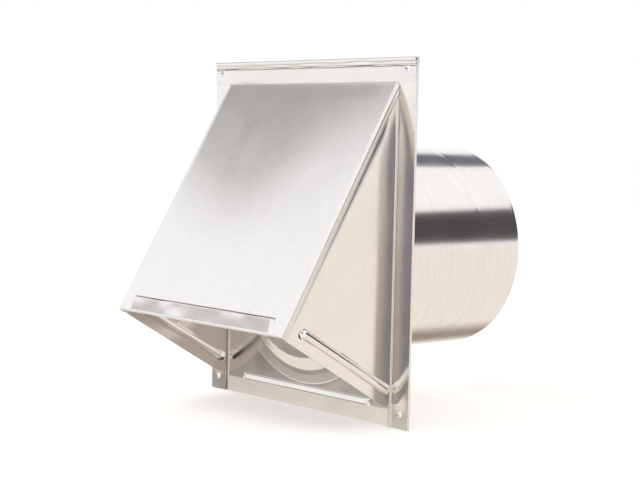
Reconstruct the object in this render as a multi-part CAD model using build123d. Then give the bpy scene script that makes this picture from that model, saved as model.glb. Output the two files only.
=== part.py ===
from build123d import *
import math
import os

# Hooded aluminium wall vent for a round duct, with a gravity damper behind the hood.
# Millimetres. Origin: duct axis at the wall face. +Z up, +Y into the wall along the duct,
# +X to the right of someone facing the hood.

# Sheet and duct
sheet = 0.8                  # thickness of every sheet-metal piece
duct_radius = 76.0           # outside of the round duct, nominal 6 inch
duct_projection = 140.0      # duct length behind the wall face
duct_flange_width = 6.0      # flared rim clamped behind the plate
duct_seam_width = 7.0        # longitudinal lap inside the duct
duct_seam_angle = 200.0      # where the lap runs, degrees from +X about the duct axis

# Damper mouth, seat and flap
mouth_drop = 13.5            # centre of the mouth below the duct axis
mouth_edge = 0.7             # left between the mouth and the duct bore at the bottom
mouth_collar = 5.0           # turned-in collar of the seat, from its front face backwards
collar_clearance = 0.1       # radial, seat collar in the plate's mouth
lap_clearance = 0.05         # radial, duct lap inside the bore
flap_overlap = 15.0          # flap radius beyond the mouth
seat_margin = 8.0            # seat radius beyond the flap
flap_gap = 0.3               # closed flap to seat
flap_rim = 2.6               # flat outer rim of the pan
flap_bevel = 8.0             # sloping band inside the rim, measured radially
flap_rise = 4.0              # how far the pan's face stands forward of its rim

# Hinge
rod_radius = 1.6
rod_clearance = 0.06         # radial, rod in the bracket holes
hinge_gap = 3.5              # hinge axis above the flap's edge
hinge_stand = 3.0            # hinge axis forward of the flap rim's back face
hinge_inset = 24.0           # rolled edge round the rod, each end in from the flap's side
play = 0.4                   # sideways play at each bracket and cap
ear_depth = 11.0             # bracket ear, from the plate forwards
ear_height = 14.0
foot_width = 14.0            # bracket foot, sideways
rivet_radius = 1.6
rivet_head_radius = 2.8
rivet_head_height = 1.1
rivet_spacing = 8.0
cap_radius = 3.2             # push-on caps at the rod ends
cap_thickness = 1.0
rod_end = 1.2                # rod standing out of each cap

# Hood and plate
side_gap = 16.0              # flap edge to the outer face of a cheek
strip_width = 17.0           # mounting strip bent out from each cheek
headroom = 52.7              # top fold of the hood above the hinge axis
hood_depth = 98.0            # lip forward of the mounting strips
hood_slope_height = 165.7    # lip below the top fold
top_strip_height = 16.3
top_lip_height = 2.6         # raised lip along the top edge
plate_foot = 17.5            # plate below the seat
cheek_foot_gap = 14.0        # rear lower corner of a cheek above the plate's bottom edge
cheek_corner = 5.0           # chamfer of that corner
hem_width = 5.0              # folded edge behind the plate
lip_hem = 7.0                # folded-back edge under the hood's lip
flange_height = 12.0         # hood's top flange, behind the top strip
seam_width = 5.0             # lock seam along each sloping edge of the hood
seam_thickness = 1.2
fit_gap = 0.3                # sideways gap between sheets that lie in one layer

# Mounting holes
hole_radius = 2.35
hole_side_inset = 8.0
hole_bottom_inset = 10.0
hole_top_inset = 7.5

# Pressed beads: width, height, and where they run
front_bead_width = 9.0
front_bead_height = 2.6
front_bead_up = 6.5          # centre line above the lip, along the slope
front_bead_inset = 12.0      # each end, in from the cheek face
cheek_bead_width = 7.0
cheek_bead_height = 1.8
cheek_bead_up = 10.5         # centre line above the cheek's lower edge
cheek_bead_start = 15.0      # from the lip end of that edge
cheek_bead_end = 14.0        # from its wall end
plate_bead_width = 5.4
plate_bead_height = 1.5
plate_bead_half = 69.5
plate_bead_up = 13.8         # centre line above the plate's bottom edge

# Layers, counted forwards from the wall face at y = 0
plate_back_y = -sheet
plate_front_y = -2 * sheet
strip_front_y = -3 * sheet
top_front_y = -4 * sheet
seat_front_y = strip_front_y
rim_back_y = seat_front_y - flap_gap

# Sizes that follow
duct_bore = duct_radius - sheet
mouth_radius = duct_bore - mouth_drop - mouth_edge
flap_radius = mouth_radius + flap_overlap
seat_radius = flap_radius + seat_margin
hood_half = flap_radius + side_gap
plate_half = hood_half + strip_width
plate_bottom = -mouth_drop - seat_radius - plate_foot
hinge_z = -mouth_drop + flap_radius + hinge_gap
hinge_y = rim_back_y - hinge_stand
hood_top = hinge_z + headroom
plate_top = hood_top + top_strip_height
knuckle_radius = rod_radius + sheet
knuckle_half = flap_radius - hinge_inset
ear_inner = knuckle_half + play
foot_outer = ear_inner + sheet + foot_width
lip_y = strip_front_y - hood_depth
lip_z = hood_top - hood_slope_height
slope_length = math.hypot(hood_depth, hood_slope_height)
slope_angle = math.degrees(math.atan2(hood_depth, hood_slope_height))
cheek_foot_z = plate_bottom + cheek_foot_gap


def block(x0, x1, y0, y1, z0, z1):
    """Box between two corners."""
    centre = Location(((x0 + x1) / 2, (y0 + y1) / 2, (z0 + z1) / 2))
    return centre * Box(x1 - x0, y1 - y0, z1 - z0)


def disc(radius, y0, y1, x=0.0, z=0.0):
    """Cylinder along Y from y0 to y1."""
    return Location((x, (y0 + y1) / 2, z), (90, 0, 0)) * Cylinder(radius, y1 - y0)


def bar(radius, x0, x1, y, z):
    """Cylinder along X from x0 to x1."""
    return Location(((x0 + x1) / 2, y, z), (0, 90, 0)) * Cylinder(radius, x1 - x0)


def side_slab(points, x0, x1):
    """Outline of (y, z) points, extruded from x0 to x1."""
    face = Plane.YZ * make_face(Polyline(*points, close=True))
    return Location((x0, 0, 0)) * extrude(face, amount=x1 - x0)


def capsule(radius, start, end):
    """Round bar with ball ends from start to end."""
    run = Vector(*end) - Vector(*start)
    plane = Plane(origin=start, z_dir=run)
    body = plane * Cylinder(radius, run.length, align=(Align.CENTER, Align.CENTER, Align.MIN))
    return body + Location(start) * Sphere(radius) + Location(end) * Sphere(radius)


def press_bead(panel, start, end, outward, width, height, keep):
    """Press a round-backed bead into a panel: start and end lie on its outer face."""
    radius = (width ** 2 / 4 + height ** 2) / (2 * height)
    sink = Vector(*outward).normalized() * (height - radius)
    first = tuple(Vector(*start) + sink)
    last = tuple(Vector(*end) + sink)
    skin = capsule(radius, first, last) & keep
    return (panel + skin) - capsule(radius - sheet, first, last)


def mounting_holes(y0, y1):
    """The four screw holes, as cutters."""
    x = plate_half - hole_side_inset
    heights = (plate_bottom + hole_bottom_inset, plate_top - hole_top_inset)
    return [disc(hole_radius, y0, y1, side * x, z) for side in (-1, 1) for z in heights]


def rivet_places():
    """Centres (x, z) of the rivets through both bracket feet."""
    x = ear_inner + sheet + foot_width / 2
    heights = (hinge_z - rivet_spacing / 2, hinge_z + rivet_spacing / 2)
    return [(side * x, z) for side in (-1, 1) for z in heights]


def down_slope(distance, depth=0.0):
    """(y, z) on the hood's front face, distance down from the top fold, depth below the face."""
    angle = math.radians(slope_angle)
    y = strip_front_y - distance * math.sin(angle) + depth * math.cos(angle)
    z = hood_top - distance * math.cos(angle) - depth * math.sin(angle)
    return y, z


def wall_end(depth):
    """(y, z) where a line at this depth below the hood's front face meets the mounting strips."""
    return down_slope(depth / math.tan(math.radians(slope_angle)), depth)


def back_plate():
    """Flat plate on the wall, with its mouth, bottom bead and folded edges."""
    plate = block(-plate_half, plate_half, plate_front_y, plate_back_y,
                  plate_bottom, plate_top - sheet)
    hem_side = block(plate_half - hem_width, plate_half, plate_back_y, 0,
                     plate_bottom, plate_top - hem_width)
    hem_foot = block(-plate_half, plate_half, plate_back_y, 0,
                     plate_bottom, plate_bottom + hem_width)
    plate = plate + hem_side + mirror(hem_side, about=Plane.YZ) + hem_foot
    z = plate_bottom + plate_bead_up
    keep = block(-plate_half, plate_half, plate_front_y - plate_bead_height, plate_front_y,
                 plate_bottom, plate_top)
    plate = press_bead(plate, (-plate_bead_half, plate_front_y, z),
                       (plate_bead_half, plate_front_y, z), (0, -1, 0),
                       plate_bead_width, plate_bead_height, keep)
    plate = plate - disc(mouth_radius, plate_front_y - 1, 1, z=-mouth_drop)
    for x, z in rivet_places():
        plate = plate - disc(rivet_radius, plate_front_y - 1, 1, x, z)
    return plate - mounting_holes(plate_front_y - 1, 1)


def top_strip():
    """Channel folded over the top edge, with a raised lip along its front."""
    front = block(-plate_half, plate_half, top_front_y, strip_front_y, hood_top, plate_top)
    lip = block(-plate_half, plate_half, top_front_y - sheet, top_front_y,
                plate_top - top_lip_height, plate_top)
    top = block(-plate_half, plate_half, strip_front_y, 0, plate_top - sheet, plate_top)
    back = block(-plate_half, plate_half, plate_back_y, 0,
                 plate_top - hem_width, plate_top - sheet)
    return (front + lip + top + back) - mounting_holes(top_front_y - 2, 1)


def hood_front():
    """Sloping front of the hood: top flange, panel, pressed bead and folded lip."""
    panel = side_slab([down_slope(0), down_slope(slope_length),
                       down_slope(slope_length, sheet), wall_end(sheet)],
                      -hood_half, hood_half)
    reach = hood_half - sheet - fit_gap
    hem = side_slab([down_slope(slope_length - lip_hem, sheet), down_slope(slope_length, sheet),
                     down_slope(slope_length, 2 * sheet),
                     down_slope(slope_length - lip_hem, 2 * sheet)], -reach, reach)
    turn = side_slab([(strip_front_y, hood_top), wall_end(sheet),
                      (plate_front_y, hood_top - sheet), (plate_front_y, hood_top)],
                     -reach, reach)
    flange = block(-reach, reach, strip_front_y, plate_front_y,
                   hood_top, hood_top + flange_height)
    y, z = down_slope(slope_length - front_bead_up)
    half = hood_half - front_bead_inset
    outward = (0, -math.cos(math.radians(slope_angle)), math.sin(math.radians(slope_angle)))
    keep = side_slab([down_slope(slope_length - 3 * front_bead_width),
                      down_slope(slope_length),
                      down_slope(slope_length, -2 * front_bead_height),
                      down_slope(slope_length - 3 * front_bead_width, -2 * front_bead_height)],
                     -hood_half, hood_half)
    pressed = press_bead(panel + hem, (-half, y, z), (half, y, z), outward,
                         front_bead_width, front_bead_height, keep)
    return pressed + turn + flange


def cheek():
    """Right-hand side of the hood, bent out into its mounting strip."""
    points = [wall_end(sheet), down_slope(slope_length, sheet),
              (strip_front_y - cheek_corner, cheek_foot_z),
              (strip_front_y, cheek_foot_z + cheek_corner / 2)]
    side = side_slab(points, hood_half - sheet, hood_half)
    strip = block(hood_half - sheet, plate_half, strip_front_y, plate_front_y,
                  plate_bottom, plate_top - sheet)
    front = Vector(hood_half, *points[1])
    back = Vector(hood_half, *points[2])
    along = (back - front).normalized()
    up = Vector(0, -along.Z, along.Y)
    start = front + along * cheek_bead_start + up * cheek_bead_up
    end = back - along * cheek_bead_end + up * cheek_bead_up
    keep = block(hood_half, hood_half + cheek_bead_height, lip_y, strip_front_y,
                 plate_bottom, plate_top)
    side = press_bead(side, tuple(start), tuple(end), (1, 0, 0),
                      cheek_bead_width, cheek_bead_height, keep)
    return (side + strip) - mounting_holes(strip_front_y - 1, 1)


def lock_seam():
    """Folded seam along the hood's right sloping edge, on the outside of the cheek."""
    return side_slab([down_slope(0), down_slope(slope_length),
                      down_slope(slope_length, seam_width), wall_end(seam_width)],
                     hood_half, hood_half + seam_thickness)


def duct_pipe():
    """Rolled duct with its front end flared behind the plate."""
    pipe = disc(duct_radius, plate_back_y, duct_projection)
    flange = disc(duct_radius + duct_flange_width, plate_back_y, 0)
    return (pipe + flange) - disc(duct_bore, plate_back_y - 1, duct_projection + 1)


def duct_seam():
    """Longitudinal lap of the duct, lying inside its bore."""
    outer = duct_bore - lap_clearance
    ring = disc(outer, 2 * sheet, duct_projection)
    ring = ring - disc(outer - sheet, 0, duct_projection + 1)
    strip = block(0, duct_radius, 0, duct_projection + 1, -duct_seam_width / 2, duct_seam_width / 2)
    return ring & (Location((0, 0, 0), (0, -duct_seam_angle, 0)) * strip)


def seat_ring():
    """Ring round the mouth that the flap closes on, with a turned-in collar."""
    outer = mouth_radius - collar_clearance
    ring = disc(seat_radius, seat_front_y, plate_front_y, z=-mouth_drop)
    collar = disc(outer, plate_front_y, seat_front_y + mouth_collar, z=-mouth_drop)
    bore = disc(outer - sheet, seat_front_y - 1, mouth_collar, z=-mouth_drop)
    return (ring + collar) - bore


def hinge_bracket():
    """Right-hand bracket: an ear for the rod, and a foot riveted to the plate."""
    low = hinge_z - ear_height / 2
    high = hinge_z + ear_height / 2
    ear = block(ear_inner, ear_inner + sheet, plate_front_y - ear_depth, plate_front_y, low, high)
    foot = block(ear_inner, foot_outer, plate_front_y - sheet, plate_front_y, low, high)
    bracket = ear + foot
    bracket = bracket - bar(rod_radius + rod_clearance, ear_inner - 1, ear_inner + 2 * sheet,
                            hinge_y, hinge_z)
    for x, z in rivet_places():
        bracket = bracket - disc(rivet_radius, plate_front_y - 2, 0, x, z)
    return bracket


def bracket_rivets():
    """Four rivets: domed head on the foot, shank through foot and plate, flat tail."""
    rivets = []
    face = plate_front_y - sheet
    dome_radius = (rivet_head_radius ** 2 + rivet_head_height ** 2) / (2 * rivet_head_height)
    for x, z in rivet_places():
        dome = Location((x, face - rivet_head_height + dome_radius, z)) * Sphere(dome_radius)
        head = dome & disc(rivet_head_radius + 1, face - rivet_head_height - 1, face, x, z)
        shank = disc(rivet_radius, face, plate_back_y, x, z)
        tail = disc(rivet_head_radius, plate_back_y, plate_back_y + 0.75 * sheet, x, z)
        rivets.append(head + shank + tail)
    return Compound(children=rivets)


def flap_pan():
    """Stamped damper flap: flat rim, bevel, raised face, and a top edge rolled round the rod."""
    inner = flap_radius - flap_rim
    face = inner - flap_bevel
    front = rim_back_y - sheet
    lean = sheet * math.tan(math.atan2(flap_rise, flap_bevel) / 2)
    outline = Polyline((0, rim_back_y - flap_rise), (face - lean, rim_back_y - flap_rise),
                       (inner - lean, rim_back_y), (flap_radius, rim_back_y),
                       (flap_radius, front), (inner, front),
                       (face, front - flap_rise), (0, front - flap_rise), close=True)
    pan = Location((0, 0, -mouth_drop)) * revolve(make_face(outline), axis=Axis.Y)
    tab = block(-knuckle_half, knuckle_half, front, rim_back_y,
                -mouth_drop + flap_radius / 2, hinge_z)
    tab = tab - disc(flap_radius - flap_rim / 2, front - 1, rim_back_y + 1, z=-mouth_drop)
    knuckle = bar(knuckle_radius, -knuckle_half, knuckle_half, hinge_y, hinge_z)
    return (pan + tab + knuckle) - bar(rod_radius, -plate_half, plate_half, hinge_y, hinge_z)


def hinge_rod():
    """Steel rod crimped in the flap's rolled edge, turning in both bracket ears."""
    half = ear_inner + sheet + play + cap_thickness + rod_end
    return bar(rod_radius, -half, half, hinge_y, hinge_z)


def rod_caps():
    """Push-on caps that keep the rod between the brackets."""
    start = ear_inner + sheet + play
    cap = bar(cap_radius, start, start + cap_thickness, hinge_y, hinge_z)
    cap = fillet(cap.edges().filter_by(GeomType.CIRCLE), cap_thickness / 4)
    cap = cap - bar(rod_radius, start - 1, start + cap_thickness + 1, hinge_y, hinge_z)
    return Compound(children=[cap, mirror(cap, about=Plane.YZ)])


def both_sides(name, piece):
    """A right-hand piece and its mirror image, under two names."""
    return {name + "_right": piece, name + "_left": mirror(piece, about=Plane.YZ)}


nodes = {
    "back_plate": back_plate(),
    "top_strip": top_strip(),
    "hood_front": hood_front(),
    "duct_pipe": duct_pipe(),
    "duct_seam": duct_seam(),
    "seat_ring": seat_ring(),
    "bracket_rivets": bracket_rivets(),
    "flap_pan": flap_pan(),
    "hinge_rod": hinge_rod(),
    "rod_caps": rod_caps(),
}
nodes.update(both_sides("cheek", cheek()))
nodes.update(both_sides("lock_seam", lock_seam()))
nodes.update(both_sides("hinge_bracket", hinge_bracket()))

os.makedirs("parts", exist_ok=True)
for name, piece in nodes.items():
    export_step(piece, "parts/" + name + ".step")
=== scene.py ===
import math

import bpy
import numpy as np
from mathutils import Matrix, Vector


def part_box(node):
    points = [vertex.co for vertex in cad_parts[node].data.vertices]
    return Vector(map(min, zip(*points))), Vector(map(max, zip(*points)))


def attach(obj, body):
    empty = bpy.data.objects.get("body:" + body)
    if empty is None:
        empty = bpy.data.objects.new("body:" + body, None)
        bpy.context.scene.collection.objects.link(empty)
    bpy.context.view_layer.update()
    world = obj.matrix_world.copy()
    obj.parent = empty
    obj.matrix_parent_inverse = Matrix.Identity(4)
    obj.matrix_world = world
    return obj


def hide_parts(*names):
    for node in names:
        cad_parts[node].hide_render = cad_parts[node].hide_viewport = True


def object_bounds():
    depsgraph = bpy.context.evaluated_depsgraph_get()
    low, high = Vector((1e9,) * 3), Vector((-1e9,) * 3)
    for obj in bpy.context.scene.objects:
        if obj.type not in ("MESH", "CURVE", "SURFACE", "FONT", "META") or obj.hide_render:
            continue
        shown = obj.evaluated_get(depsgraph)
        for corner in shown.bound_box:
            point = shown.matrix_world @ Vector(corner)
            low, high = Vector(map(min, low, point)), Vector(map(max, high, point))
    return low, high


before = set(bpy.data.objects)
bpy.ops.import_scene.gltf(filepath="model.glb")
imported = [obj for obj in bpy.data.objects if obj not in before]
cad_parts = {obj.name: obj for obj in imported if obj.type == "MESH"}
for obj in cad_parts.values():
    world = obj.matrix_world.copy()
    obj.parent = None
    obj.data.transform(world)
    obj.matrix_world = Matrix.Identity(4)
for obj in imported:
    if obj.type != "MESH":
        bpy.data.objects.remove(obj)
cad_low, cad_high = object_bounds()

MM = 0.001

# ---------------------------------------------------------------- sizes read from the frame

plate_low, plate_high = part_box("back_plate")
strip_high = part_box("cheek_right")[1]
seam_low, seam_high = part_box("lock_seam_right")
duct_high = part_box("duct_pipe")[1]
seat_low, seat_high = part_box("seat_ring")
flap_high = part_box("flap_pan")[1]
top_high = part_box("top_strip")[1]

# ---------------------------------------------------------------- small helpers


def srgb(code):
    """Linear RGBA from an sRGB hex code."""
    parts = [int(code[i:i + 2], 16) / 255 for i in (0, 2, 4)]
    return [c / 12.92 if c <= 0.04045 else ((c + 0.055) / 1.055) ** 2.4 for c in parts] + [1.0]


def add(tree, kind, sockets=None, **settings):
    """One node of a kind, with its settings and its input values or links by socket name."""
    node = tree.nodes.new(kind)
    for name, value in settings.items():
        setattr(node, name, value)
    for name, value in (sockets or {}).items():
        if isinstance(value, bpy.types.NodeSocket):
            tree.links.new(value, node.inputs[name])
        else:
            node.inputs[name].default_value = value
    return node


def toward(azimuth, elevation):
    """Unit vector at an azimuth from +X towards +Y and an elevation, in degrees."""
    a, e = math.radians(azimuth), math.radians(elevation)
    return Vector((math.cos(e) * math.cos(a), math.cos(e) * math.sin(a), math.sin(e)))


# ---------------------------------------------------------------- studio


def studio_card(tree, ray, below, azimuth, elevation, half_wide, half_high, soft, colour):
    """Lay one soft-edged card of the studio over the colour below it.

    With c the card's middle direction and s, t its sides, a ray d meets the card's plane at
    d.s / d.c and d.t / d.c, and each side fades over the soft width.
    """
    centre = toward(azimuth, elevation)
    side = Vector((0, 0, 1)).cross(centre).normalized()
    rise = centre.cross(side)

    depth = add(tree, "ShaderNodeVectorMath", {0: ray, 1: centre}, operation="DOT_PRODUCT")
    depth = add(tree, "ShaderNodeMath", {0: depth.outputs["Value"], 1: 0.0001}, operation="MAXIMUM")
    blur = math.tan(math.radians(soft))
    masks = []
    for axis, half in ((side, half_wide), (rise, half_high)):
        across = add(tree, "ShaderNodeVectorMath", {0: ray, 1: axis}, operation="DOT_PRODUCT")
        slant = add(tree, "ShaderNodeMath", {0: across.outputs["Value"], 1: depth.outputs[0]},
                    operation="DIVIDE")
        offset = add(tree, "ShaderNodeMath", {0: slant.outputs[0]}, operation="ABSOLUTE").outputs[0]
        edge = math.tan(math.radians(half))
        masks.append(add(tree, "ShaderNodeMapRange",
                         {"Value": offset, "From Min": edge - blur, "From Max": edge + blur,
                          "To Min": 1.0, "To Max": 0.0},
                         interpolation_type="SMOOTHSTEP").outputs["Result"])
    mask = add(tree, "ShaderNodeMath", {0: masks[0], 1: masks[1]}, operation="MULTIPLY").outputs[0]
    return add(tree, "ShaderNodeMix", {"Factor": mask, 6: below, 7: colour},
               data_type="RGBA").outputs[2]


def build_world():
    """White studio: plain white to the camera, and to all else warm below, white above, and cards."""
    world = bpy.data.worlds.new("studio")
    bpy.context.scene.world = world
    world.use_nodes = True
    tree = world.node_tree
    tree.nodes.clear()
    ray = add(tree, "ShaderNodeTexCoord").outputs["Generated"]
    height = add(tree, "ShaderNodeSeparateXYZ", {0: ray}).outputs["Z"]
    colour = srgb("f4ece2")
    for low, full, code in HEIGHTS:
        share = add(tree, "ShaderNodeMapRange", {"Value": height, "From Min": low, "From Max": full},
                    interpolation_type="SMOOTHSTEP").outputs["Result"]
        colour = add(tree, "ShaderNodeMix", {"Factor": share, 6: colour, 7: srgb(code)},
                     data_type="RGBA").outputs[2]
    for card in CARDS:
        colour = studio_card(tree, ray, colour, *card[:5], srgb(card[5]))
    seen = add(tree, "ShaderNodeLightPath").outputs["Is Camera Ray"]
    colour = add(tree, "ShaderNodeMix", {"Factor": seen, 6: colour, 7: srgb("ffffff")},
                 data_type="RGBA").outputs[2]
    strength = add(tree, "ShaderNodeMapRange", {"Value": seen, "To Min": 1.12, "To Max": 1.0})
    glow = add(tree, "ShaderNodeBackground", {"Color": colour, "Strength": strength.outputs[0]})
    add(tree, "ShaderNodeOutputWorld", {"Surface": glow.outputs[0]})


# sine of the elevation where a colour starts, sine where it is full, colour
HEIGHTS = (
    (-0.03, 0.03, "ffffff"),     # horizon, over the warm table
    (-0.78, -1.0, "ab9c90"),     # shade straight below
    (0.71, 0.97, "9b9da3"),      # dim ceiling overhead
)
# azimuth, elevation, half width, half height, softness in degrees, colour
CARDS = (
    (40.0, 16.5, 36.0, 12.5, 1.2, "4c4848"),     # gap under the overhead softbox, behind on the right
    (119.0, 38.0, 11.0, 6.5, 1.0, "5c6272"),     # gap on the softbox's far side
    (135.0, -38.0, 20.0, 13.0, 9.0, "9c8d80"),   # table's shaded end
    (-54.0, -4.0, 12.0, 14.0, 3.0, "82828a"),    # dark room on the camera's side
    (-35.0, -9.0, 7.0, 7.0, 3.0, "b5a69b"),      # doorway beside it
    (-171.2, 43.0, 12.0, 12.6, 1.8, "a9a4a2"),   # dim ceiling in front, left of the softbox
    (166.0, 20.0, 13.0, 24.0, 2.0, "5a5654"),    # wall at the far left
    (-146.0, 15.0, 5.5, 4.5, 3.0, "cbc6c5"),     # softbox's lower rim
    (-139.0, -6.5, 16.0, 4.0, 1.5, "6c6664"),    # table's far edge
)


def build_floor():
    """Pale floor: white to the camera where it is lit, out of the way of the metal's reflections."""
    z = cad_low.z - 0.3 * MM
    mesh = bpy.data.meshes.new("floor")
    reach = 3.0
    mesh.from_pydata([(-reach, -reach, z), (reach, -reach, z), (reach, reach, z), (-reach, reach, z)],
                     [], [(0, 1, 2, 3)])
    floor = bpy.data.objects.new("floor", mesh)
    bpy.context.scene.collection.objects.link(floor)
    material = bpy.data.materials.new("pale_studio_floor")
    material.use_nodes = True
    tree = material.node_tree
    tree.nodes.clear()
    path = add(tree, "ShaderNodeLightPath")
    matt = add(tree, "ShaderNodeBsdfDiffuse", {"Color": srgb("f1ece6")})
    lift = add(tree, "ShaderNodeEmission", {"Color": srgb("ffffff"), "Strength": 0.45})
    both = add(tree, "ShaderNodeAddShader", {0: matt.outputs[0], 1: lift.outputs[0]})
    seen = add(tree, "ShaderNodeMixShader", {"Fac": path.outputs["Is Camera Ray"], 1: matt.outputs[0],
                                            2: both.outputs[0]})
    clear = add(tree, "ShaderNodeBsdfTransparent")
    below = add(tree, "ShaderNodeNewGeometry").outputs["Backfacing"]
    gone = add(tree, "ShaderNodeMath", {0: path.outputs["Is Glossy Ray"], 1: below},
               operation="MAXIMUM").outputs[0]
    surface = add(tree, "ShaderNodeMixShader", {"Fac": gone,
                                               1: seen.outputs[0], 2: clear.outputs[0]})
    add(tree, "ShaderNodeOutputMaterial", {"Surface": surface.outputs[0]})
    floor.data.materials.append(material)


def build_lamp(name, place, aim, size, watts):
    """Square area lamp at a place, pointing at another."""
    light = bpy.data.lights.new(name, "AREA")
    light.size = size
    light.energy = watts
    lamp = bpy.data.objects.new(name, light)
    bpy.context.scene.collection.objects.link(lamp)
    lamp.location = place
    lamp.rotation_mode = "QUATERNION"
    lamp.rotation_quaternion = (Vector(aim) - Vector(place)).to_track_quat("-Z", "Y")
    lamp.visible_glossy = False


def build_camera():
    """Long lens, a little above the vent's middle, from its front right."""
    pitch, yaw, roll = (math.radians(a) for a in (-3.88, 49.12, 1.28))
    level = Vector((-math.sin(yaw), math.cos(yaw), 0))
    right = Vector((math.cos(yaw), math.sin(yaw), 0))
    up = Vector((0, 0, 1))
    ahead = math.cos(pitch) * level + math.sin(pitch) * up
    above = math.cos(pitch) * up - math.sin(pitch) * level
    side = math.cos(roll) * right + math.sin(roll) * above
    top = math.cos(roll) * above - math.sin(roll) * right
    data = bpy.data.cameras.new("camera")
    data.lens = 87.24
    data.sensor_width = 36.0
    camera = bpy.data.objects.new("camera", data)
    bpy.context.scene.collection.objects.link(camera)
    turn = Matrix((side, top, -ahead)).transposed().to_4x4()
    turn.translation = Vector((847.0, -722.4, 82.0)) * MM
    camera.matrix_world = turn
    data.clip_start = 0.05
    data.clip_end = 50
    bpy.context.scene.camera = camera


# ---------------------------------------------------------------- materials


def sheet(name, colour, rough, grain=2.0, streak=(1, 1, 1), fine=1500.0, mottle=0.25):
    """Metal sheet: a mirror-like base broken up by the rolls' fine grain and slow smears.

    rough is the mean roughness, grain the bump's height in micrometres, streak stretches the
    grain along the rolling direction, and mottle is how much the grain darkens the metal. fine
    is the grain's count per metre: 1500 is a spacing of 0.67 mm. The rolls' real grain is near
    0.05 mm, too fine to show, so it is drawn coarser. The smears are 1 / 26 m, 38 mm, apart.
    """
    material = bpy.data.materials.new(name)
    material.use_nodes = True
    tree = material.node_tree
    tree.nodes.clear()
    place = add(tree, "ShaderNodeTexCoord").outputs["Object"]
    smear = add(tree, "ShaderNodeTexNoise", {"Vector": place, "Scale": 26.0, "Detail": 4.0,
                                             "Roughness": 0.55}).outputs["Fac"]
    lines = add(tree, "ShaderNodeMapping", {"Vector": place, "Scale": streak})
    rolled = add(tree, "ShaderNodeTexNoise", {"Vector": lines.outputs[0], "Scale": fine,
                                              "Detail": 3.0, "Roughness": 0.7}).outputs["Fac"]
    roughness = add(tree, "ShaderNodeMapRange", {"Value": smear, "From Min": 0.3, "From Max": 0.7,
                                                 "To Min": rough * 0.82,
                                                 "To Max": rough * 1.2}).outputs["Result"]
    tone = add(tree, "ShaderNodeMapRange", {"Value": rolled, "From Min": 0.32, "From Max": 0.68,
                                            "To Min": 1.0 - mottle, "To Max": 1.0}).outputs["Result"]
    base = srgb(colour)
    shade = add(tree, "ShaderNodeMix", {"Factor": tone, 6: [c * 0.5 for c in base[:3]] + [1],
                                        7: base}, data_type="RGBA").outputs[2]
    bump = add(tree, "ShaderNodeBump", {"Height": rolled, "Distance": grain * 1e-6,
                                        "Strength": 1.0}).outputs[0]
    shader = add(tree, "ShaderNodeBsdfPrincipled",
                 {"Base Color": shade, "Metallic": 1.0, "Roughness": roughness, "Normal": bump})
    add(tree, "ShaderNodeOutputMaterial", {"Surface": shader.outputs[0]})
    return material


def finish_node(node, material):
    """Give a CAD node its finished material."""
    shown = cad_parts[node]
    shown.data.materials.clear()
    shown.data.materials.append(material)


# ---------------------------------------------------------------- mesh tools, in millimetres

SHARP_ANGLE = 32.0


def ruled(start, *runs):
    """Ascending stops from start: each run is (where it ends, how many even pieces)."""
    stops = [start]
    for end, pieces in runs:
        stops.extend(np.linspace(stops[-1], end, pieces + 1)[1:])
    return np.array(stops)


def grid(us, vs, keep=None):
    """Net of us by vs: flat arrays of u and v, and its quads, anticlockwise seen with u right and v up.

    keep takes the cells' middle u and v and says which cells stay.
    """
    u, v = (a.ravel() for a in np.meshgrid(us, vs, indexing="ij"))
    rows = len(vs)
    i, j = np.meshgrid(np.arange(len(us) - 1), np.arange(rows - 1), indexing="ij")
    first = (i * rows + j).ravel()
    quads = np.stack([first, first + rows, first + rows + 1, first + 1], 1)
    if keep is not None:
        quads = quads[keep(u[quads].mean(1), v[quads].mean(1))]
        used, flat = np.unique(quads, return_inverse=True)
        u, v, quads = u[used], v[used], flat.reshape(-1, 4)
    return u, v, quads


def open_hole(u, v, middle, radius, inner, outer):
    """Draw the square of half side inner round the middle onto a circle.

    With m the larger of |du| and |dv|, a point goes out by radius / distance at m = inner, by
    1 at m = outer, and evenly between.
    """
    du, dv = u - middle[0], v - middle[1]
    reach = np.maximum(np.abs(du), np.abs(dv))
    share = np.clip((reach - inner) / (outer - inner), 0, 1)
    scale = (1 - share) * radius / np.maximum(np.hypot(du, dv), 1e-9) + share
    inside = reach < outer
    return (np.where(inside, middle[0] + du * scale, u), np.where(inside, middle[1] + dv * scale, v))


def outside_square(middle, half):
    """Test for cells that lie outside a square hole."""
    return lambda u, v: np.maximum(np.abs(u - middle[0]), np.abs(v - middle[1])) > half


def ripple(a, b, seed, height, length):
    """Slow unevenness of rolled sheet: five sine waves of about this length in scattered directions."""
    rng = np.random.default_rng(seed)
    total = 0
    for turn, phase, share in zip(rng.uniform(0, math.pi, 5), rng.uniform(0, 2 * math.pi, 5),
                                  rng.uniform(0.7, 1.5, 5)):
        wave = (a * math.cos(turn) + b * math.sin(turn)) * 2 * math.pi / (length * share)
        total = total + np.sin(wave + phase) * share
    return height * total / 5


def bead(distance, width, height):
    """Round-backed pressed bead: height times one minus the squared share of the half width."""
    share = np.clip(np.abs(distance) / (width / 2), 0, 1)
    return height * (1 - share ** 2) ** 0.85


def to_segment(a, b, start, end):
    """Distance in the plane from points (a, b) to the segment between two points."""
    run = np.subtract(end, start)
    t = np.clip(((a - start[0]) * run[0] + (b - start[1]) * run[1]) / (run @ run), 0, 1)
    return np.hypot(a - start[0] - t * run[0], b - start[1] - t * run[1])


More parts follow.
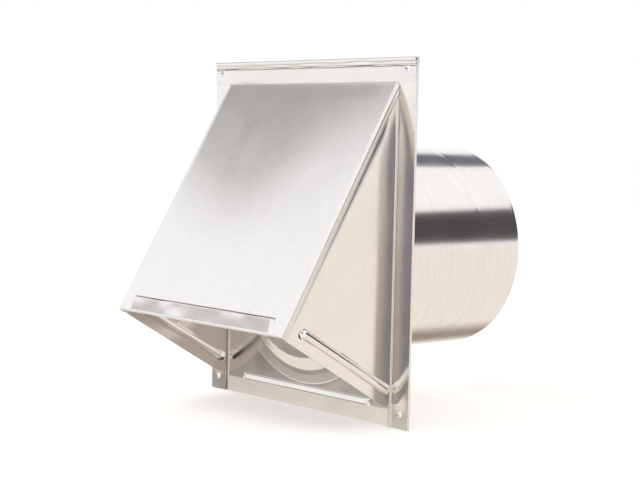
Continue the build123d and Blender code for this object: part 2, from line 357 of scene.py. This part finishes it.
def rounded_path(corners, radii, arc_pieces=8):
    """Stations, points and left-hand normals along straight runs joined by tangent arcs.

    Each arc starts radius * tan(half the turn) before its corner, and its points turn evenly
    about its centre.
    """
    corners = np.array(corners, float)
    points, normals = [], []

    def note(point, heading):
        points.append(point)
        normals.append((-heading[1], heading[0]))

    for k, corner in enumerate(corners):
        before = corner - corners[k - 1] if k else corners[1] - corner
        after = corners[k + 1] - corner if k + 1 < len(corners) else before
        before, after = before / np.hypot(*before), after / np.hypot(*after)
        if k in (0, len(corners) - 1):
            note(corner, before)
            continue
        turn = math.atan2(before[0] * after[1] - before[1] * after[0], before @ after)
        radius = radii[k - 1]
        begin = corner - before * radius * math.tan(abs(turn) / 2)
        left = np.array((-before[1], before[0])) * math.copysign(1, turn)
        for step in np.linspace(0, turn, arc_pieces + 1):
            c, s = math.cos(step), math.sin(step)
            swept = np.array((-left[0] * c + left[1] * s, -left[0] * s - left[1] * c))
            note(begin + left * radius + swept * radius,
                 np.array((before[0] * c - before[1] * s, before[0] * s + before[1] * c)))
    points, normals = np.array(points), np.array(normals)
    stations = np.concatenate([[0], np.cumsum(np.hypot(*np.diff(points, axis=0).T))])
    return stations, points, normals


def walk(path, q):
    """Points and unit normals at stations q of a rounded path."""
    stations, points, normals = path
    place = np.stack([np.interp(q, stations, points[:, i]) for i in (0, 1)], -1)
    side = np.stack([np.interp(q, stations, normals[:, i]) for i in (0, 1)], -1)
    return place, side / np.hypot(side[..., 0], side[..., 1])[..., None]


def skin(front, back, quads):
    """Closed shell of a sheet: front quads, back quads turned round, and a rim on each open edge."""
    count = len(front)
    edges = np.concatenate([quads[:, [i, (i + 1) % 4]] for i in range(4)])
    forward, reverse = edges[:, 0] * count + edges[:, 1], edges[:, 1] * count + edges[:, 0]
    free = edges[~np.isin(forward, reverse)]
    rim = np.stack([free[:, 1], free[:, 0], free[:, 0] + count, free[:, 1] + count], 1)
    return np.concatenate([front, back]), np.concatenate([quads, quads[:, ::-1] + count, rim])


def lathe(profile, turns, about):
    """Closed profile of (radius, y) points turned about an axis along Y through (x, z)."""
    profile = np.array(profile, float)
    angle = np.arange(turns) * 2 * math.pi / turns
    radius, y = profile[:, 0], profile[:, 1]
    ring = np.stack([about[0] + np.outer(np.cos(angle), radius), np.tile(y, (turns, 1)),
                     about[1] + np.outer(np.sin(angle), radius)], -1)
    n = len(profile)
    i, j = (a.ravel() for a in np.meshgrid(np.arange(turns), np.arange(n), indexing="ij"))
    i2, j2 = (i + 1) % turns, (j + 1) % n
    return ring.reshape(-1, 3), np.stack([i * n + j, i * n + j2, i2 * n + j2, i2 * n + j], 1)


def make_piece(name, points, faces, material, replaced, slot, body="housing"):
    """Mesh object from arrays in millimetres, shaded smooth but for edges over SHARP_ANGLE."""
    mesh = bpy.data.meshes.new(name)
    mesh.vertices.add(len(points))
    mesh.vertices.foreach_set("co", (np.asarray(points, float) * MM).ravel())
    size = faces.shape[1]
    mesh.loops.add(faces.size)
    mesh.loops.foreach_set("vertex_index", faces.ravel().astype(np.int32))
    mesh.polygons.add(len(faces))
    mesh.polygons.foreach_set("loop_start", np.arange(0, faces.size, size, dtype=np.int32))
    mesh.polygons.foreach_set("loop_total", np.full(len(faces), size, np.int32))
    mesh.update(calc_edges=True)
    mesh.validate()
    mesh.shade_smooth()
    mesh.set_sharp_from_angle(angle=math.radians(SHARP_ANGLE))
    piece = bpy.data.objects.new(name, mesh)
    bpy.context.scene.collection.objects.link(piece)
    piece.data.materials.append(material)
    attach(piece, body)
    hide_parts(*replaced)


# ---------------------------------------------------------------- the vent's sizes, in millimetres

SHEET = 0.8
HOOD_HALF = seam_low.x / MM
STRIP_Y = seam_high.y / MM
LIP_Y = seam_low.y / MM
HOOD_TOP = seam_high.z / MM
SLOPE_DROP = 165.7
SLOPE = math.hypot(STRIP_Y - LIP_Y, SLOPE_DROP)
SLOPE_SIN = (STRIP_Y - LIP_Y) / SLOPE
SLOPE_COS = SLOPE_DROP / SLOPE
PLATE_HALF = plate_high.x / MM
PLATE_FOOT = plate_low.z / MM
PLATE_TOP = top_high.z / MM
STRIP_TOP = strip_high.z / MM
PLATE_Y = STRIP_Y + SHEET
TOP_Y = STRIP_Y - SHEET
HOLE_X = PLATE_HALF - 8.0
HOLE_LOW = PLATE_FOOT + 10.0
HOLE_HIGH = PLATE_TOP - 7.5
HOLE_RADIUS = 2.35
HOLE_CORE = 1.8
HOLE_REACH = 3.4
MOUTH_Z = (seat_low.z + seat_high.z) / 2 / MM
MOUTH_RADIUS = 61.0
DUCT_RADIUS = 76.0
FLANGE_RADIUS = 82.0
FLAP_RADIUS = 76.0
HINGE_Y = -5.7
HINGE_Z = 66.0


# ---------------------------------------------------------------- sheet-metal pieces


def mirrored(points, faces):
    """The same shell on the other side of the middle plane, faces turned back outwards."""
    return points * (-1, 1, 1), faces[:, ::-1]


def slope_point(down, depth=0.0):
    """(y, z) on the hood's front face, down from the top fold, at a depth below the face."""
    return (STRIP_Y - down * SLOPE_SIN + depth * SLOPE_COS, HOOD_TOP - down * SLOPE_COS - depth * SLOPE_SIN)


def soft_step(value, low, high):
    """0 below low, 1 above high, with an S between."""
    t = np.clip((value - low) / (high - low), 0, 1)
    return t * t * (3 - 2 * t)


def build_hood_front(metal):
    """Sloping front of the hood.

    A path runs from the hidden top flange down the slope and round the lip's folded hem, and is
    carried across x. Along the path's normal it takes the rolled side edges, the pressed band
    above the lip, a faint crown and the sheet's unevenness.
    """
    fold = 2 * SHEET + 0.1
    turn = fold / 2 - 0.01
    path = rounded_path([(STRIP_Y, HOOD_TOP + 11.0), (STRIP_Y, HOOD_TOP), slope_point(SLOPE),
                         slope_point(SLOPE, fold), slope_point(SLOPE - 7.0, fold)],
                        [1.6, turn, turn], 7)
    stations = path[0]
    top, foot, end = stations[8], stations[9], stations[-1]
    lip = foot + turn
    band_top, band_foot = 12.4, 1.6
    q = np.unique(np.concatenate([stations, ruled(top, (lip - 16, 60), (foot, 44)),
                                  ruled(stations[-2], (end, 5))]).round(5))
    roll = 1.0
    flat = HOOD_HALF - roll
    edge = flat + roll * np.sin(np.linspace(0, math.pi / 2, 7)[1:])
    band_end = HOOD_HALF - 12.0
    xs = ruled(-flat, (-band_end - 2, 8), (-band_end + 4, 14), (band_end - 4, 90),
               (band_end + 2, 14), (flat, 8))
    x, s, quads = grid(np.concatenate([-edge[::-1], xs, edge]), q)
    place, side = walk(path, s)
    above = lip - s
    open_face = soft_step(s, top + 1, top + 14) * (s < lip)
    band = 2.2 * (1 - soft_step(above, band_top - 1.7, band_top)) * np.clip((above - band_foot) / 9.0, 0, 1)
    band = band * soft_step(band_end - np.abs(x), 0, 1.8) * (s < lip)
    crown = 0.4 * (1 - (x / HOOD_HALF) ** 2) * np.sin(np.clip((s - top) / (lip - top), 0, 1) * math.pi)
    band = band * (1 + 0.35 * ripple(x, s, 17, 1.0, 34.0))
    uneven = ripple(x, s, 11, 0.09, 120.0) * soft_step(above, 14, 26)
    down = roll - np.sqrt(np.maximum(roll ** 2 - np.maximum(np.abs(x) - flat, 0) ** 2, 0))
    height = band + (crown + uneven) * open_face - down
    front = np.stack([x, place[:, 0] - side[:, 0] * height, place[:, 1] - side[:, 1] * height], 1)
    back = front + np.stack([0 * x, side[:, 0], side[:, 1]], 1) * SHEET
    make_piece("hood_front_panel", *skin(front, back, quads[:, ::-1]), metal, ["hood_front"],
               slot="hood_aluminium")


def build_cheeks(metal):
    """Both sides of the hood, each bent out into its mounting strip.

    Rows fan out from the apex: at share w of the way down, a row runs from the sloping edge to
    the fold. Past the fold's small radius the rows carry on across the strip, where u is x.
    """
    bend = 1.3
    apex_z = HOOD_TOP - 1.6
    foot_z = PLATE_FOOT + 16.3
    drop = 4.5
    lip = np.array(slope_point(SLOPE, SHEET + 0.02))
    apex = np.array(slope_point((bend + 0.6) / SLOPE_SIN, SHEET + 0.02))
    fold_y = STRIP_Y - bend
    shares = np.concatenate([ruled(0, (0.8, 66), (0.99, 62), (1, 4))])
    rows = np.concatenate([ruled(PLATE_FOOT, (HOLE_LOW - HOLE_REACH, 4), (HOLE_LOW - HOLE_CORE, 3),
                                 (HOLE_LOW + HOLE_CORE, 6), (HOLE_LOW + HOLE_REACH, 3))[:-1],
                           apex_z - (apex_z - foot_z) * shares[::-1],
                           ruled(apex_z, (HOLE_HIGH - HOLE_REACH, 6), (HOLE_HIGH - HOLE_CORE, 3),
                                 (HOLE_HIGH + HOLE_CORE, 6), (HOLE_HIGH + HOLE_REACH, 3),
                                 (STRIP_TOP, 2))[1:]])
    across = np.concatenate([ruled(-1, (0, 96))[:-1], ruled(0, (1, 7)),
                             ruled(HOOD_HALF + bend, (HOLE_X - HOLE_REACH, 6), (HOLE_X - HOLE_CORE, 3),
                                   (HOLE_X + HOLE_CORE, 6), (HOLE_X + HOLE_REACH, 3),
                                   (PLATE_HALF, 5))[1:]])

    def keep(u, v):
        cheek = (v > foot_z) & (v < apex_z)
        low = outside_square((HOLE_X, HOLE_LOW), HOLE_CORE)(u, v)
        high = outside_square((HOLE_X, HOLE_HIGH), HOLE_CORE)(u, v)
        return np.where(u < 0, cheek, low & high)

    u, v, quads = grid(across, rows, keep)
    for middle in ((HOLE_X, HOLE_LOW), (HOLE_X, HOLE_HIGH)):
        u, v = open_hole(u, v, middle, HOLE_RADIUS, HOLE_CORE, HOLE_REACH)
    share = np.clip((apex_z - v) / (apex_z - foot_z), 0, 1)
    a = np.clip(u + 1, 0, 1)
    sunk = drop * share ** 8
    edge_y = apex[0] + (lip[0] - apex[0]) * share
    edge_z = apex[1] + (lip[1] - apex[1]) * share
    z = np.where(u < 0, edge_z + (v - sunk - edge_z) * a + sunk * np.clip((a - 0.93) / 0.07, 0, 1) ** 2, v)
    angle = np.clip(u, 0, 1) * math.pi / 2
    y = np.where(u < 0, edge_y + (fold_y - edge_y) * a, fold_y + bend * np.sin(angle))
    x = np.where(u > 1, u, HOOD_HALF + bend * (1 - np.cos(angle)))
    flat = soft_step(v, apex_z, HOOD_TOP)
    y = y + (STRIP_Y - y) * flat
    normal = np.stack([np.cos(angle) * (1 - flat), -np.sin(angle) * (1 - flat) - flat, 0 * angle], 1)
    normal /= np.hypot(normal[:, 0], normal[:, 1])[:, None]
    low_edge = np.array([fold_y, foot_z - drop]) - lip
    low_edge /= np.hypot(*low_edge)
    up = np.array([-low_edge[1], low_edge[0]])
    start = lip + low_edge * 16.5 + up * 10.5
    end = np.array([fold_y, foot_z - drop]) - low_edge * 10.5 + up * 10.8
    pressed = bead(to_segment(y, z, start, end), 6.6, 1.8) * (u < 0)
    dent = -1.5 * np.exp(-((y - start[0] + 2.6) ** 2 + (z - start[1] - 0.6) ** 2) / 4.0) * (u < 0)
    under = (STRIP_Y - y) * SLOPE_COS - (HOOD_TOP - z) * SLOPE_SIN
    tuck = -1.0 * np.exp(-np.maximum(-under - 4.8, 0) / 3.4) * (u < 0) * soft_step(1 - a, 0.0, 0.06)
    calm = soft_step(a, 0, 0.12) * soft_step(1 - a, 0.0, 0.1)
    uneven = ripple(y, z, 5, 0.22, 75.0) * calm * (u < 0)
    bow = 0.35 * np.sin(np.clip((x - HOOD_HALF - bend) / (PLATE_HALF - HOOD_HALF - bend), 0, 1) * math.pi)
    bow = bow * (u > 1) * soft_step(v, foot_z - 6, foot_z + 8) * (1 - soft_step(v, HOOD_TOP - 20, HOOD_TOP))
    strip_wave = ripple(z, x, 8, 0.10, 60.0) * (u > 1) * soft_step(HOOD_TOP - v, 0, 12)
    height = pressed + dent + tuck + uneven + bow + strip_wave
    front = np.stack([x, y, z], 1) + normal * height[:, None]
    back = front - normal * SHEET
    shell = skin(front, back, quads)
    make_piece("hood_cheek_right", *shell, metal, ["cheek_right"], slot="hood_aluminium")
    make_piece("hood_cheek_left", *mirrored(*shell), metal, ["cheek_left"], slot="hood_aluminium")


def build_lock_seams(metal):
    """Folded seams down both sloping edges: across the seam, two rounded folds side by side."""
    thick = 1.15
    d, t, quads = grid(ruled(0.02, (2.48, 14), (2.52, 2), (4.98, 14)), ruled(0, (1, 60)))
    phase = np.clip(np.abs(d % 2.5 - 1.25) / 1.25, 0, 1)
    rounding = np.sqrt(1 - phase ** 2)
    rise = thick * (0.2 + 0.8 * rounding)
    wave = ripple(t * 180, d, 21, 0.06, 30.0) * rounding
    start = (d + 0.4) * SLOPE_COS / SLOPE_SIN
    down = start + (SLOPE - start) * t
    y = STRIP_Y - down * SLOPE_SIN + d * SLOPE_COS
    z = HOOD_TOP - down * SLOPE_COS - d * SLOPE_SIN
    front = np.stack([HOOD_HALF + np.maximum(rise + wave, 0.05), y, z], 1)
    back = np.stack([0 * y + HOOD_HALF - 0.9, y, z], 1)
    shell = skin(front, back, quads[:, ::-1])
    make_piece("lock_seam_right_fold", *shell, metal, ["lock_seam_right"], slot="hood_aluminium")
    make_piece("lock_seam_left_fold", *mirrored(*shell), metal, ["lock_seam_left"], slot="hood_aluminium")


def build_top_strip(metal):
    """Channel over the plate's top edge: a path up the front, out over the lip, over and down behind."""
    lip_z = PLATE_TOP - 2.8
    path = rounded_path([(TOP_Y, HOOD_TOP), (TOP_Y, lip_z), (TOP_Y - SHEET, lip_z + 0.5),
                         (TOP_Y - SHEET, PLATE_TOP), (0, PLATE_TOP), (0, PLATE_TOP - 5.0)],
                        [0.3, 0.3, 0.75, 0.75], 5)
    hole = HOLE_HIGH - HOOD_TOP
    q = np.unique(np.concatenate([path[0], ruled(0, (hole - HOLE_REACH, 4), (hole - HOLE_CORE, 3),
                                                 (hole + HOLE_CORE, 6), (hole + HOLE_REACH, 3)),
                                  ruled(path[0][-2], (path[0][-1], 4))]).round(5))
    half = PLATE_HALF
    xs = ruled(-half, (-HOLE_X - HOLE_REACH, 5), (-HOLE_X - HOLE_CORE, 3), (-HOLE_X + HOLE_CORE, 6),
               (-HOLE_X + HOLE_REACH, 3), (HOLE_X - HOLE_REACH, 90), (HOLE_X - HOLE_CORE, 3),
               (HOLE_X + HOLE_CORE, 6), (HOLE_X + HOLE_REACH, 3), (half, 5))
    left, right = (-HOLE_X, hole), (HOLE_X, hole)
    x, s, quads = grid(xs, q, lambda u, v: outside_square(left, HOLE_CORE)(u, v)
                       & outside_square(right, HOLE_CORE)(u, v))
    for middle in (left, right):
        x, s = open_hole(x, s, middle, HOLE_RADIUS, HOLE_CORE, HOLE_REACH)
    place, side = walk(path, s)
    near_lip = np.exp(-((place[:, 1] - lip_z) / 1.2) ** 2) * (place[:, 0] < STRIP_Y)
    z = place[:, 1] + (ripple(x, 0 * x, 31, 0.5, 26.0) - 0.1) * near_lip
    face = (s > 0.5) & (s < hole + 4)
    groove = 0.34 * np.exp(-((s - (lip_z - HOOD_TOP) + 1.6) / 0.9) ** 2)
    groove = groove * (1 + ripple(x, 0 * x, 35, 0.6, 30.0))
    height = (ripple(x, s, 33, 0.09, 50.0) + groove) * face
    front = np.stack([x, place[:, 0] + side[:, 0] * height, z + side[:, 1] * height], 1)
    back = front - np.stack([0 * x, side[:, 0], side[:, 1]], 1) * (SHEET - 0.1)
    make_piece("plate_top_channel", *skin(front, back, quads), metal, ["top_strip"], slot="plate_aluminium")


def build_plate(metal):
    """Back plate: a path round the side hems and across the front, carried up z, with the mouth,
    the screw holes and the pressed bead along the bottom; and the hem behind its foot."""
    thick = SHEET - 0.06
    hem = PLATE_HALF - 5.0
    path = rounded_path([(-hem, 0), (-PLATE_HALF, 0), (-PLATE_HALF, PLATE_Y), (PLATE_HALF, PLATE_Y),
                         (PLATE_HALF, 0), (hem, 0)], [0.76, 0.76, 0.76, 0.76], 5)
    stations = path[0]
    middle = (stations[0] + stations[-1]) / 2
    core, reach = 44.0, 78.0
    hole_lines = [(-HOLE_X - 2.9, 4), (-HOLE_X - HOLE_CORE, 2), (-HOLE_X + HOLE_CORE, 6), (-HOLE_X + 2.9, 2)]
    inside = [(-reach, 8), (-core, 14), (core, 36), (reach, 14)]
    mirror_lines = [(HOLE_X - 2.9, 8), (HOLE_X - HOLE_CORE, 2), (HOLE_X + HOLE_CORE, 6), (HOLE_X + 2.9, 2)]
    flat_end = PLATE_HALF - 0.76
    us = ruled(-flat_end, *hole_lines, *inside, *mirror_lines, (flat_end, 4))
    us = np.unique(np.concatenate([us, stations - middle]).round(5))
    bead_z = PLATE_FOOT + 13.8
    low, high = MOUTH_Z - reach, MOUTH_Z + reach
    vs = ruled(PLATE_FOOT, (HOLE_LOW - 2.9, 4), (HOLE_LOW - HOLE_CORE, 2), (HOLE_LOW + HOLE_CORE, 6),
               (HOLE_LOW + 2.9, 2), (bead_z + 4, 14), (low, 3), (MOUTH_Z - core, 14), (MOUTH_Z + core, 36),
               (high, 14), (HOLE_HIGH - 2.9, 16), (HOLE_HIGH - HOLE_CORE, 2), (HOLE_HIGH + HOLE_CORE, 6),
               (HOLE_HIGH + 2.9, 2), (PLATE_TOP - SHEET, 2))
    holes = [(x, z) for x in (-HOLE_X, HOLE_X) for z in (HOLE_LOW, HOLE_HIGH)]

    def keep(u, v):
        kept = outside_square((0, MOUTH_Z), core)(u, v)
        for hole in holes:
            kept = kept & outside_square(hole, HOLE_CORE)(u, v)
        return kept

    u, z, quads = grid(us, vs, keep)
    u, z = open_hole(u, z, (0, MOUTH_Z), MOUTH_RADIUS, core, reach)
    for hole in holes:
        u, z = open_hole(u, z, hole, HOLE_RADIUS, HOLE_CORE, 2.9)
    place, side = walk(path, u + middle)
    x = place[:, 0]
    on_front = np.abs(u) < flat_end
    inside = soft_step(2.5 - to_segment(x, z, (-68.0, bead_z), (68.0, bead_z)), 0, 0.6)
    pressed = inside * (0.3 + 0.75 * np.clip((bead_z + 2.4 - z) / 4.8, 0, 1)) * on_front
    lean = np.minimum(z - bead_z + 2.0, 0) * 0.03 * on_front
    calm = soft_step(HOOD_HALF - np.abs(x), 2, 20) * soft_step(np.hypot(x, z - MOUTH_Z), 84, 92)
    uneven = ripple(x, z, 41, 0.16, 70.0) * calm * on_front
    height = pressed + lean + np.minimum(uneven, 0.15)
    front = np.stack([x - side[:, 0] * height, place[:, 1] - side[:, 1] * height, z], 1)
    back = front + np.stack([side[:, 0], side[:, 1], 0 * z], 1) * thick
    make_piece("wall_plate", *skin(front, back, quads), metal, ["back_plate"], slot="plate_aluminium")
    x, z, quads = grid(ruled(-hem + 0.2, (hem - 0.2, 30)), ruled(PLATE_FOOT, (PLATE_FOOT + 5.0, 4)))
    front = np.stack([x, 0 * x - 0.42, z], 1)
    back = np.stack([x, 0 * x, z], 1)
    make_piece("wall_plate_foot_hem", *skin(front, back, quads), metal, ["back_plate"],
               slot="plate_aluminium")


def build_duct(metal):
    """Rolled duct: a closed wall profile turned about the duct's axis, flared behind the plate,
    with a rounded end and a faint rolled line where the slip end starts."""
    outer, inner = DUCT_RADIUS, DUCT_RADIUS - SHEET
    end = duct_high.y / MM
    crimp = end - 38.0
    turn = np.linspace(0, math.pi, 7)
    rim = [(outer - 0.4 + 0.4 * math.cos(t), end - 0.4 + 0.4 * math.sin(t)) for t in turn]
    wall = [(outer, y) for y in ruled(2.0, (crimp - 2, 30))]
    line = [(outer - 0.06, crimp - 0.6), (outer - 0.08, crimp), (outer - 0.05, crimp + 0.8)]
    slip = [(outer - 0.04, y) for y in ruled(crimp + 3, (end - 3, 12))]
    bore = [(inner, y) for y in ruled(0.2, (end - 1, 30))]
    profile = [(FLANGE_RADIUS, 0.0), (outer + 1.2, 0.05), (outer + 0.35, 0.7)] + wall + line + slip + rim
    profile = profile + bore[::-1] + [(inner, -0.78), (FLANGE_RADIUS, -0.78)]
    points, faces = lathe(profile, 240, (0, 0))
    angle = np.arctan2(points[:, 2], points[:, 0])
    out = soft_step(points[:, 1], 4, 30)
    radius = np.hypot(points[:, 0], points[:, 2])
    oval = 1 + (0.16 * np.cos(2 * angle + 0.7) + 0.05 * np.cos(5 * angle + 2)) * out / radius
    points[:, 0] *= oval
    points[:, 2] *= oval
    make_piece("duct_tube", points, faces, metal, ["duct_pipe"], slot="duct_aluminium")


def turned_sheet(corners, radii, thick, reach):
    """Sheet turned about the mouth's axis: the path in (y, radius), offset by the thickness."""
    path = rounded_path(corners, radii, 6)
    q = np.unique(np.concatenate([path[0], ruled(path[0][0], (path[0][-1], reach))]).round(5))
    place, side = walk(path, q)
    under = place - side * thick
    profile = np.concatenate([place, under[::-1]])[:, ::-1]
    return lathe(profile, 240, (0, MOUTH_Z))


def build_seat(metal):
    """Seat ring: collar turned into the mouth, flat seat, outer edge pressed down to the plate."""
    front = seat_low.y / MM
    shell = turned_sheet([(2.6, MOUTH_RADIUS - 0.9), (front, MOUTH_RADIUS - 0.9), (front, 77.0),
                          (front + 0.11, 83.6), (front + 0.7, 84.0)], [1.0, 6.0, 0.3], 0.78, 40)
    make_piece("seat_ring_pressing", *shell, metal, ["seat_ring"], slot="plate_aluminium")


def build_flap(metal):
    """Damper flap: a dished disc whose outline runs up into the straight tab, and the tab's edge
    rolled round the rod (rows along x, columns round the rod's axis)."""
    radius, rim, tab = FLAP_RADIUS, 73.4, flap_high.x / MM - 24.0
    front = flap_high.y / MM - SHEET
    points, faces = turned_sheet([(front - 4.0, 0.02), (front - 4.0, 65.1), (front, rim), (front, radius)],
                                 [1.8, 1.4], SHEET, 60)
    x, z = points[:, 0], points[:, 2] - MOUTH_Z
    out = np.hypot(x, z)
    turn = np.arctan2(z, np.abs(x))
    top = HINGE_Z - MOUTH_Z
    edge = np.minimum(tab / np.maximum(np.cos(turn), 1e-6), top / np.maximum(np.sin(turn), 1e-6))
    edge = np.where(turn > 0, np.maximum(edge, radius), radius)
    edge = np.where(turn < math.atan2(math.sqrt(radius ** 2 - tab ** 2), tab), radius, edge)
    wide = np.where(out > rim, rim + (out - rim) * (edge - rim) / (radius - rim), out)
    points[:, 0] = x / out * wide
    points[:, 2] = z / out * wide + MOUTH_Z
    calm = soft_step(63 - out, 0, 12)
    points[:, 1] -= ripple(points[:, 0], points[:, 2], 51, 0.12, 60.0) * calm + 0.12 * calm
    make_piece("damper_flap_pressing", points, faces, metal, ["flap_pan"], body="damper",
               slot="flap_aluminium")
    x, turn, quads = grid(ruled(-tab, (tab, 40)), np.radians(ruled(-12, (300, 48))))
    arc = np.stack([0 * x, np.cos(turn), np.sin(turn)], 1)
    middle = np.stack([x, 0 * x + HINGE_Y, 0 * x + HINGE_Z], 1)
    inner = middle + arc * 1.62
    outer = middle + arc * 2.4
    make_piece("damper_flap_roll", *skin(outer, inner, quads[:, ::-1]), metal, ["flap_pan"], body="damper",
               slot="flap_aluminium")


# ---------------------------------------------------------------- scene

build_world()
build_floor()
build_camera()
build_lamp("key", (-0.7, -0.9, 1.1), (0, 0, 0), 0.8, 6.0)

# mill-finish aluminium, as rolled: a bright, fine-grained front panel with soft reflections
panel_metal = sheet("mill_finish_aluminium_panel", "f3f1f0", 0.13, 2.5, (1, 1, 1), 1500.0, 0.35)
# the same mill-finish sheet, more handled: cheeks and lock seams, a little more blurred
hood_metal = sheet("mill_finish_aluminium_cheek", "f3f0ec", 0.17)
# mill-finish aluminium, duller from handling: wall plate, channel and seat ring, blurred most
plate_metal = sheet("mill_finish_aluminium_plate", "f1efed", 0.19)
# mill-finish aluminium, rolled round: clear bands along the duct, with hairlines about it
duct_metal = sheet("rolled_aluminium_duct", "f3f0ee", 0.16, 2.0, (0.03, 1.6, 0.03), 1400.0, 0.3)
# mill-finish aluminium, pressed: the flap, dulled by the dies
flap_metal = sheet("pressed_aluminium_flap", "ece9e6", 0.22)
# zinc-plated steel, as plated: cool grey and mottled, on brackets, rod and caps
steel_metal = sheet("zinc_plated_steel", "c9cbd0", 0.28, 1.0, (1, 1, 1), 900.0, 0.4)
# drawn aluminium, headed cold: rivets, plain and soft
rivet_metal = sheet("drawn_aluminium_rivet", "e4e4e4", 0.3, 1.0, (1, 1, 1), 900.0, 0.2)

build_hood_front(panel_metal)
build_cheeks(hood_metal)
build_lock_seams(hood_metal)
build_top_strip(plate_metal)
build_plate(plate_metal)
build_duct(duct_metal)
build_seat(plate_metal)
build_flap(flap_metal)
for names, metal in (("hood_front", panel_metal),
                     ("cheek_left cheek_right lock_seam_left lock_seam_right", hood_metal),
                     ("back_plate top_strip seat_ring", plate_metal),
                     ("duct_pipe duct_seam", duct_metal), ("flap_pan", flap_metal),
                     ("hinge_bracket_left hinge_bracket_right hinge_rod rod_caps", steel_metal),
                     ("bracket_rivets", rivet_metal)):
    for name in names.split():
        finish_node(name, metal)

bpy.context.scene.view_settings.view_transform = "Standard"
